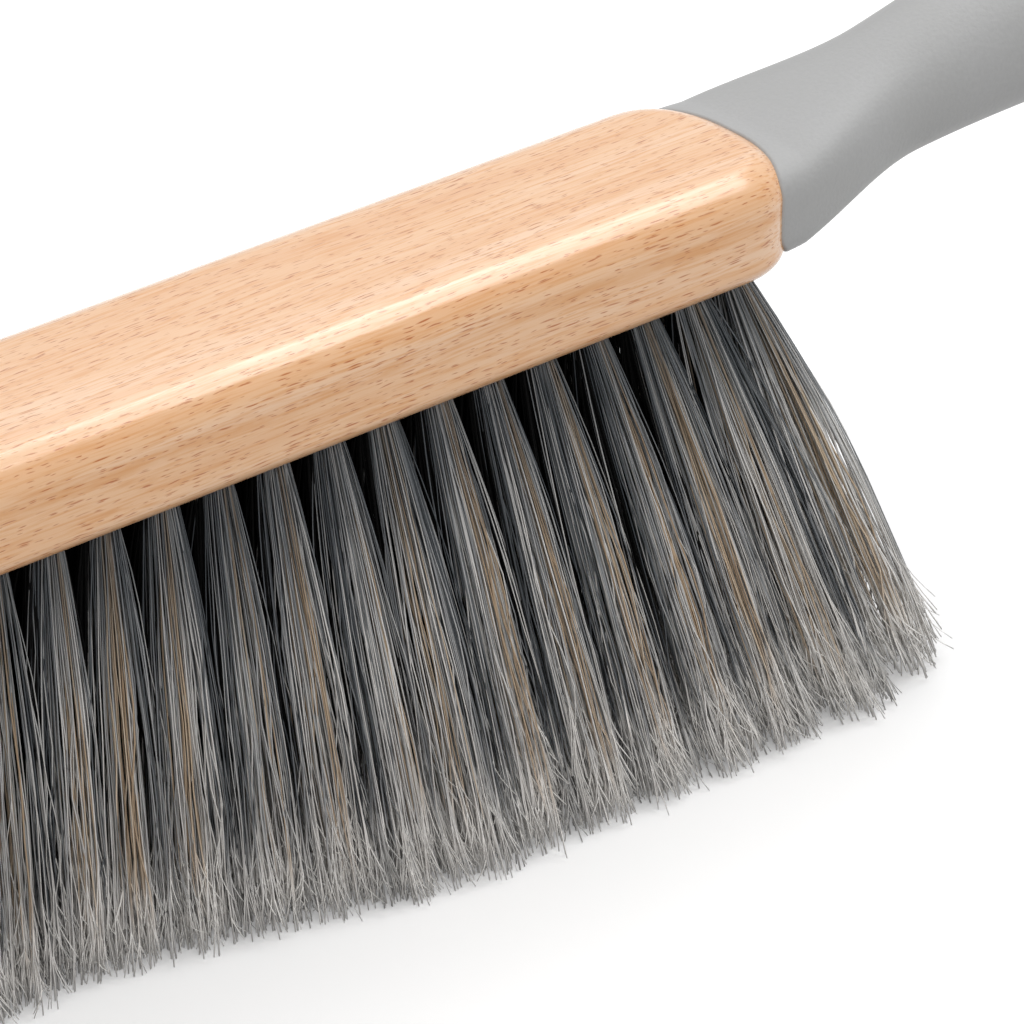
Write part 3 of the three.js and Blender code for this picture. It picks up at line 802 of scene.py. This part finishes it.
    # Each tube is bent along its fibre: straight out, opening sideways, with a bow, a wave and frayed ends
    rest = add(tree, "ShaderNodeMath", {0: 1, 1: kept["start"]}, operation="SUBTRACT")[0]
    along = add(
        tree, "ShaderNodeMath", {0: kept["way"], 1: rest, 2: kept["start"]}, operation="MULTIPLY_ADD",
    )[0]
    share = add(tree, "ShaderNodeMath", {0: along, 1: kept["length"]}, operation="MULTIPLY")[0]
    to_tip = add(tree, "ShaderNodeMath", {0: 1, 1: share}, operation="SUBTRACT")[0]
    closed = add(tree, "ShaderNodeMath", {0: to_tip, 1: given["Opening"]}, operation="POWER")[0]
    opening = add(tree, "ShaderNodeMath", {0: 1, 1: closed}, operation="SUBTRACT")[0]
    half_turn = add(tree, "ShaderNodeMath", {0: share, 1: math.pi}, operation="MULTIPLY")[0]
    belly = add(tree, "ShaderNodeMath", {0: half_turn}, operation="SINE")[0]
    turns = add(
        tree, "ShaderNodeVectorMath", {0: kept["pitch"], 1: share, 2: kept["phase"]},
        operation="MULTIPLY_ADD",
    )[0]
    swing = add(tree, "ShaderNodeVectorMath", {0: turns}, operation="SINE")[0]
    level_swing = add(tree, "ShaderNodeVectorMath", {0: swing, 1: (1, 1, 0)}, operation="MULTIPLY")[0]
    swing_size = add(tree, "ShaderNodeMath", {0: kept["wave"], 1: share}, operation="MULTIPLY")[0]
    splay = add(tree, "ShaderNodeMath", {0: kept["way"], 1: SPLAY_POWER}, operation="POWER")[0]
    slim = add(
        tree, "ShaderNodeMath", {0: kept["way"], 1: -TIP_TAPER, 2: 1}, operation="MULTIPLY_ADD",
    )[0]
    girth = add(tree, "ShaderNodeMath", {0: kept["thick"], 1: slim}, operation="MULTIPLY")[0]
    section = add(tree, "ShaderNodeVectorMath", {0: position, 1: (1, 1, 0)}, operation="MULTIPLY")[0]
    line = kept["root"]
    for part, size in (
        (kept["axis"], share), (kept["side"], opening), (kept["bow"], belly), (level_swing, swing_size),
        (kept["fray"], splay), (section, girth),
    ):
        line = add(
            tree, "ShaderNodeVectorMath", {0: part, 1: size, 2: line}, operation="MULTIPLY_ADD",
        )[0]

    # A map of the blend against the way along, which lays like fibres over each other, shaded ones apart
    edge = add(tree, "ShaderNodeSeparateXYZ", {0: section})[0]
    half = add(
        tree, "ShaderNodeMath", {0: kept["shade"], 1: 0.5, 2: CHART_MARGIN}, operation="MULTIPLY_ADD",
    )[0]
    column = add(
        tree, "ShaderNodeMath", {0: kept["tint"], 1: 0.5 - 2 * CHART_MARGIN, 2: half},
        operation="MULTIPLY_ADD",
    )[0]
    chart_x = add(
        tree, "ShaderNodeMath", {0: edge, 1: CHART_FIBRE_WIDTH, 2: column}, operation="MULTIPLY_ADD",
    )[0]
    chart_y = add(
        tree, "ShaderNodeMath", {0: along, 1: 1 - 2 * CHART_MARGIN, 2: CHART_MARGIN},
        operation="MULTIPLY_ADD",
    )[0]
    chart = add(tree, "ShaderNodeCombineXYZ", {0: chart_x, 1: chart_y})[0]
    for title, kind, domain, value in (
        ("along", "FLOAT", "POINT", along), ("OFBake", "FLOAT2", "CORNER", chart),
    ):
        whole = add(
            tree, "GeometryNodeStoreNamedAttribute", {0: whole, 2: title, 3: value},
            data_type=kind, domain=domain,
        )[0]
    shaped = add(tree, "GeometryNodeSetPosition", {0: whole, 2: line})[0]
    for spent in kept:
        if spent not in ("tint", "shade"):
            shaped = add(tree, "GeometryNodeRemoveAttribute", {0: shaped, "Name": spent})[0]
    shaped = add(tree, "GeometryNodeSetShadeSmooth", {0: shaped})[0]
    shaped = add(tree, "GeometryNodeSetMaterial", {0: shaped, 2: given["Material"]})[0]
    tree.links.new(shaped, result.inputs[0])
    return tree


def grow_tufts(name, tree, roots, shaded_beyond, values):
    """One piece of bristles from some of the tufts. Those at the block's ends flare and fill more."""
    piece = new_piece(name + "_roots", np.column_stack([roots, np.full(len(roots), TUFT_ROOT_DEPTH)]), [])
    tips = (tips_of(roots) + BLOCK_ORIGIN) * MM
    cores = (tips_of(spine_of(roots)) + BLOCK_ORIGIN) * MM
    for title, ways in (("tip", tips), ("core", cores), ("inward", inward_of(roots))):
        piece.data.attributes.new(title, "FLOAT_VECTOR", "POINT").data.foreach_set("vector", ways.ravel())
    numbers = np.arange(len(roots)) + values["Seed"]
    at_end = (np.abs(roots[:, 0]) - RING_STRAIGHT + TUFT_PITCH) / (2 * TUFT_PITCH)
    flares = ease(1, END_FLARE, at_end)
    gathers = ease(GATHER, END_GATHER, at_end + GATHER_EARLIER)
    fills = ease(FILL_SHARE, END_FILL_SHARE, at_end + FILL_EARLIER)
    # Painted shade reaches less far into the flared end tufts
    shade_starts = ease(shaded_beyond, END_SHADED_BEYOND, at_end)
    for title, sizes in (
        ("tuft", numbers), ("flare", flares), ("gather", gathers), ("fill", fills), ("crowd", shade_starts),
    ):
        piece.data.attributes.new(title, "FLOAT", "POINT").data.foreach_set("value", sizes.astype(np.float32))
    return run_tree(piece, tree, name, {**BRISTLES, **values})


# Block

def block_outline(inset):
    """The block's outline seen from above, drawn in by inset: straight sides and full, rounded ends."""
    angle = np.linspace(-math.pi / 2, math.pi / 2, BLOCK_END_STEPS + 1)
    exponent = 2 / BLOCK_END_POWER
    along = (BLOCK_END_LENGTH - inset) * power(np.cos(angle), exponent)
    across = (BLOCK_WIDTH / 2 - inset) * power(np.sin(angle), exponent)
    half = np.column_stack([BLOCK_END - BLOCK_END_LENGTH + along, across])
    return np.concatenate([half, -half])


def block_rings():
    """Outlines stacked from the underside to the top, round both edges."""
    rings = []
    for radius, centre, up in (
        (BLOCK_BOTTOM_RADIUS, BLOCK_BOTTOM_RADIUS, -1),
        (BLOCK_TOP_RADIUS, BLOCK_HEIGHT - BLOCK_TOP_RADIUS, 1),
    ):
        angles = np.linspace(0, math.pi / 2, BLOCK_EDGE_STEPS)
        for angle in angles[::up]:
            outline = block_outline(radius * (1 - math.cos(angle)))
            height = centre + up * radius * math.sin(angle)
            rings.append(np.column_stack([outline, np.full(len(outline), height)]))
    return rings


def drill_tree():
    """A tree that drills round blind holes up into a piece, at points that know their radius and depth."""
    tree, given, result = new_tree("drill_holes", {
        "Geometry": "Geometry", "Places": "Object", "Sides": "Int", "Material": "Material",
    })
    places = add(tree, "GeometryNodeObjectInfo", {"Object": given["Places"]})["Geometry"]
    drill = add(
        tree, "GeometryNodeMeshCylinder", {"Vertices": given["Sides"], "Radius": 1, "Depth": 2},
    )[0]
    size = add(tree, "GeometryNodeInputNamedAttribute", {0: "size"}, data_type="FLOAT_VECTOR")[0]
    drills = add(tree, "GeometryNodeInstanceOnPoints", {0: places, 2: drill, 6: size})[0]
    whole = add(tree, "GeometryNodeRealizeInstances", {0: drills})[0]
    cut = add(
        tree, "GeometryNodeMeshBoolean", {0: given["Geometry"], 1: whole},
        operation="DIFFERENCE", solver="EXACT",
    )[0]
    cut = add(tree, "GeometryNodeSetMaterial", {0: cut, 2: given["Material"]})[0]
    tree.links.new(cut, result.inputs[0])
    return tree


def beech_block(roots, screw_xs, material):
    """The block with a blind hole for each tuft and for each screw."""
    piece = new_piece("block_blank", *loft(block_rings()))
    holes = np.concatenate([roots, [(x, 0) for x in screw_xs]])
    places = new_piece("drill_places", np.column_stack([holes, np.zeros(len(holes))]), [])
    bore = TUFT_RADIUS + TUFT_HOLE_CLEARANCE
    sizes = [(bore, bore, TUFT_HOLE_DEPTH)] * len(roots)
    sizes += [(SCREW_HOLE_RADIUS, SCREW_HOLE_RADIUS, TUFT_HOLE_DEPTH)] * len(screw_xs)
    size = places.data.attributes.new("size", "FLOAT_VECTOR", "POINT")
    size.data.foreach_set("vector", (np.array(sizes) * MM).ravel())
    drilled = run_tree(piece, drill_tree(), "beech_block_lacquered", {
        "Places": places, "Sides": HOLE_SIDES, "Material": material,
    })
    bpy.data.objects.remove(places)
    shade(drilled, material, BLOCK_SHARP_DEGREES)
    return drilled


# Handle

def handle_points(t, angle):
    """Points of the handle's skin at distances t from the block's end and angles round its middle line."""
    butt_start = HANDLE_LENGTH - BUTT_ROUND
    collar_to_neck = (t + COLLAR_BACK) / (NECK_DISTANCE + COLLAR_BACK)
    collar_to_grip = (t + COLLAR_BACK) / (GRIP_DISTANCE + COLLAR_BACK)
    neck_to_grip = (t - NECK_DISTANCE) / (GRIP_DISTANCE - NECK_DISTANCE)
    grip_to_butt = (t - GRIP_DISTANCE) / (butt_start - GRIP_DISTANCE)
    width = ease(BLOCK_WIDTH - 2 * COLLAR_SIDE_STEP, NECK_WIDTH, collar_to_neck)
    width = np.where(t < NECK_DISTANCE, width, ease(NECK_WIDTH, GRIP_WIDTH, neck_to_grip))
    width = np.where(t < GRIP_DISTANCE, width, ease(GRIP_WIDTH, BUTT_WIDTH, grip_to_butt))
    height = ease(BLOCK_HEIGHT - 2 * COLLAR_TOP_STEP, GRIP_HEIGHT, collar_to_grip)
    height = np.where(t < GRIP_DISTANCE, height, ease(GRIP_HEIGHT, BUTT_HEIGHT, grip_to_butt))
    closing = np.sqrt(np.clip(1 - (np.maximum(0, t - butt_start) / BUTT_ROUND) ** 2, 0, 1))
    climb = 1 - np.maximum(0, 1 - np.maximum(0, t) / GRIP_DISTANCE) ** GRIP_RISE_POWER
    exponent = 2 / ease(COLLAR_POWER, GRIP_POWER, (t + COLLAR_BACK) / (COLLAR_BLEND + COLLAR_BACK))
    y = width / 2 * closing * power(np.cos(angle), exponent)
    z = BLOCK_HEIGHT / 2 + GRIP_RISE * climb + height / 2 * closing * power(np.sin(angle), exponent)
    return np.column_stack([BLOCK_END + t, y, z])


def block_end_x(y, z):
    """How far the block's rounded end reaches in X at places across it, or -inf beside the block."""
    low = np.clip(BLOCK_BOTTOM_RADIUS - z, 0, BLOCK_BOTTOM_RADIUS)
    high = np.clip(z - (BLOCK_HEIGHT - BLOCK_TOP_RADIUS), 0, BLOCK_TOP_RADIUS)
    inset = BLOCK_BOTTOM_RADIUS - np.sqrt(BLOCK_BOTTOM_RADIUS ** 2 - low ** 2)
    inset = inset + BLOCK_TOP_RADIUS - np.sqrt(BLOCK_TOP_RADIUS ** 2 - high ** 2)
    share = 1 - (np.abs(y) / (BLOCK_WIDTH / 2 - inset)) ** BLOCK_END_POWER
    reach = (BLOCK_END_LENGTH - inset) * np.clip(share, 0, 1) ** (1 / BLOCK_END_POWER)
    return np.where(share > 0, BLOCK_END - BLOCK_END_LENGTH + reach, -np.inf)


def seam_distance(angle):
    """Where the handle's skin comes out of the block's end, by halving the distance to it."""
    inside = np.full(len(angle), -COLLAR_BACK)
    outside = np.full(len(angle), BLOCK_END_LENGTH)
    for _ in range(SEAM_HALVINGS):
        middle = (inside + outside) / 2
        points = handle_points(middle, angle)
        within = points[:, 0] < block_end_x(points[:, 1], points[:, 2]) + SEAM_GAP
        inside = np.where(within, middle, inside)
        outside = np.where(within, outside, middle)
    return outside


def moulded_handle(material):
    """The handle: a skin from the seam to the butt, a rounded lip at the seam, a socket over the block's end
    and a hanging hole with eased rims."""
    angle = (np.arange(HANDLE_SIDES) + 0.5) / HANDLE_SIDES * 2 * math.pi
    seam = seam_distance(angle)
    straight = HANDLE_LENGTH - BUTT_ROUND
    lip = handle_points(seam + SEAM_ROUND, angle)
    out = (lip - (0, 0, BLOCK_HEIGHT / 2)) * (0, 1, 1)
    size = np.linalg.norm(out, axis=1, keepdims=True)

    rings = []
    for share in SOCKET_SHARES:
        ring = lip - out * (1 - share)
        ring[:, 0] = block_end_x(ring[:, 1], ring[:, 2]) + SEAM_GAP
        rings.append(ring)
    for turn in np.linspace(math.pi / 2, 0, LIP_STEPS)[:-1]:
        ring = lip - out / size * SEAM_ROUND * (1 - math.cos(turn))
        ring[:, 0] -= SEAM_ROUND * math.sin(turn)
        rings.append(ring)
    for share in np.linspace(0, 1, HANDLE_STATIONS) ** STATION_CROWDING:
        rings.append(handle_points(seam + SEAM_ROUND + (straight - seam - SEAM_ROUND) * share, angle))
    for turn in np.linspace(0, math.pi / 2, BUTT_STEPS)[1:-1]:
        rings.append(handle_points(np.full(len(angle), straight + BUTT_ROUND * math.sin(turn)), angle))
    piece = new_piece("handle_blank", *loft(rings))

    # The hanging hole is cut by a turned bobbin that is wider at the handle's skin
    t = HANDLE_LENGTH - HANG_HOLE_INSET
    x = BLOCK_END + t
    low, high = handle_points(np.array([t, t]), np.array([-math.pi / 2, math.pi / 2]))[:, 2]
    turns = np.linspace(0, 2 * math.pi, HANG_HOLE_SIDES + 1)[:-1]
    heights = np.concatenate([
        np.linspace(low - BOBBIN_REACH, low - BOBBIN_CLEAR, BOBBIN_END_STEPS),
        np.linspace(low, low + HANG_HOLE_EASE, HANG_HOLE_EASE_STEPS),
        np.linspace(high - HANG_HOLE_EASE, high, HANG_HOLE_EASE_STEPS),
        np.linspace(high + BOBBIN_CLEAR, high + BOBBIN_REACH, BOBBIN_END_STEPS),
    ])
    bobbin = []
    for z in heights:
        depth = np.clip((HANG_HOLE_EASE - min(z - low, high - z)) / HANG_HOLE_EASE, 0, 1)
        radius = HANG_HOLE_RADIUS + HANG_HOLE_EASE * (1 - math.sqrt(1 - depth ** 2))
        level = np.full(HANG_HOLE_SIDES, z)
        bobbin.append(np.column_stack([x + radius * np.cos(turns), radius * np.sin(turns), level]))
    cutter = new_piece("hanging_hole_bobbin", *loft(bobbin))
    cut = piece.modifiers.new("hanging_hole", "BOOLEAN")
    cut.object = cutter
    cut.solver = "EXACT"
    handle = plain_copy(piece, "handle_soft_touch")
    bpy.data.objects.remove(cutter)
    shade(handle, material, HANDLE_SHARP_DEGREES)
    return handle


# The brush is put together

screw_xs = []
for screw in ("tang_screw_front", "tang_screw_back"):
    low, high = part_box(screw)
    screw_xs.append((low.x + high.x) / 2 / MM - BLOCK_ORIGIN[0])

ring, ring_step = ring_roots()
split_line = RING_OFFSET * math.sin(ring_step / RING_OFFSET) / 2
front = ring[ring[:, 1] < split_line]
back = ring[ring[:, 1] >= split_line]
middle = middle_roots(ring_step, screw_xs)

block = beech_block(np.concatenate([ring, middle]), screw_xs, lacquered_beech())
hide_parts("beech_block")
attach(block, "root")

handle = moulded_handle(soft_touch_grey())
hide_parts("handle_grip")
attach(handle, "root")

filament = flagged_filament()
tuft_tree = bristle_tree()
ring_fibres = {"Fibres": RING_FIBRES, "Split ends": RING_SPLIT_ENDS}
middle_fibres = {"Fibres": MIDDLE_FIBRES, "Split ends": MIDDLE_SPLIT_ENDS}
seed = FIRST_SEED
for row, roots, parts, shaded_beyond, fibres in (
    ("front", front, RING_PIECES, RING_SHADED_BEYOND, ring_fibres),
    ("middle", middle, MIDDLE_PIECES, MIDDLE_SHADED_BEYOND, middle_fibres),
    ("back", back, RING_PIECES, RING_SHADED_BEYOND, ring_fibres),
):
    for i, part in enumerate(np.array_split(roots[np.argsort(roots[:, 0])], parts)):
        values = {**fibres, "Seed": seed, "Material": filament}
        piece = grow_tufts(f"tufts_{row}_{i + 1}", tuft_tree, part, shaded_beyond, values)
        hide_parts(f"bristles_{row}")
        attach(piece, "root")
        seed += SEED_STEP

steel = plain_steel()
brass = drawn_brass()
for node, metal in (
    ("tang_bar", steel), ("tang_screw_front", steel), ("tang_screw_back", steel),
    ("anchors_front", brass), ("anchors_middle", brass), ("anchors_back", brass),
):
    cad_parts[node].data.materials.clear()
    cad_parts[node].data.materials.append(metal)


# Floor, light and camera

def seen_plainly(tree):
    """1 for what the camera sees straight, or in or through something glossy, and 0 for other light."""
    path = add(tree, "ShaderNodeLightPath")
    seen = path["Is Camera Ray"]
    for ray in ("Is Glossy Ray", "Is Transmission Ray"):
        seen = add(tree, "ShaderNodeMath", {0: seen, 1: path[ray]}, operation="MAXIMUM")[0]
    return seen


def pale_floor():
    """A wide floor, which the camera and reflections see whiter, and lifted to the photograph's white."""
    mesh = bpy.data.meshes.new("floor")
    drop = -FLOOR_DROP * MM
    corners = [(x * FLOOR_HALF, y * FLOOR_HALF, drop) for x, y in ((-1, -1), (1, -1), (1, 1), (-1, 1))]
    mesh.from_pydata(corners, [], [(0, 1, 2, 3)])
    floor = bpy.data.objects.new("floor", mesh)
    bpy.context.scene.collection.objects.link(floor)
    material, tree, shader = new_material("matt_white_floor")
    seen = seen_plainly(tree)
    white = add(tree, "ShaderNodeMapRange", {0: seen, 3: FLOOR_BOUNCE, 4: FLOOR_WHITE})[0]
    lift = add(tree, "ShaderNodeMath", {0: seen, 1: FLOOR_LIFT}, operation="MULTIPLY")[0]
    feed(tree, shader, {
        "Base Color": white, "Roughness": 1, "Specular IOR Level": 0,
        "Emission Color": (1, 1, 1, 1), "Emission Strength": lift,
    })
    mesh.materials.append(material)


def studio_world():
    """Even soft light from all round, which the camera and reflections see as plain white."""
    world = bpy.data.worlds.new("studio")
    bpy.context.scene.world = world
    world.use_nodes = True
    tree = world.node_tree
    strength = add(tree, "ShaderNodeMapRange", {0: seen_plainly(tree), 3: WORLD_LEVEL, 4: 1})[0]
    feed(tree, tree.nodes["Background"], {"Color": (1, 1, 1, 1), "Strength": strength})


def softbox(name, towards, level, width, height):
    """A soft light that faces the brush."""
    light = bpy.data.lights.new(name, "AREA")
    light.shape = "RECTANGLE"
    light.size = width
    light.size_y = height
    light.energy = level * (math.pi * SOFTBOX_DISTANCE) ** 2
    lamp = bpy.data.objects.new(name, light)
    away = towards.normalized()
    lamp.location = away * SOFTBOX_DISTANCE
    lamp.rotation_mode = "QUATERNION"
    lamp.rotation_quaternion = (-away).to_track_quat("-Z", "Y")
    bpy.context.scene.collection.objects.link(lamp)


def photograph_camera():
    """The camera as it stood for the photograph."""
    azimuth = math.radians(VIEW_AZIMUTH)
    elevation = math.radians(VIEW_ELEVATION)
    data = bpy.data.cameras.new("camera")
    data.sensor_width = SENSOR_WIDTH
    data.lens = data.sensor_width * FOCAL_PIXELS / PICTURE_PIXELS
    camera = bpy.data.objects.new("camera", data)
    level = math.cos(elevation)
    back = Vector((math.sin(azimuth) * level, -math.cos(azimuth) * level, math.sin(elevation)))
    camera.location = VIEW_PLACE * MM
    camera.rotation_mode = "QUATERNION"
    camera.rotation_quaternion = (-back).to_track_quat("-Z", "Y")
    bpy.context.scene.collection.objects.link(camera)
    bpy.context.scene.camera = camera


pale_floor()
studio_world()
softbox("softbox_above", **SOFTBOX_ABOVE)
softbox("softbox_right", **SOFTBOX_RIGHT)
softbox("softbox_front", **SOFTBOX_FRONT)
photograph_camera()
bpy.context.scene.view_settings.view_transform = "Standard"
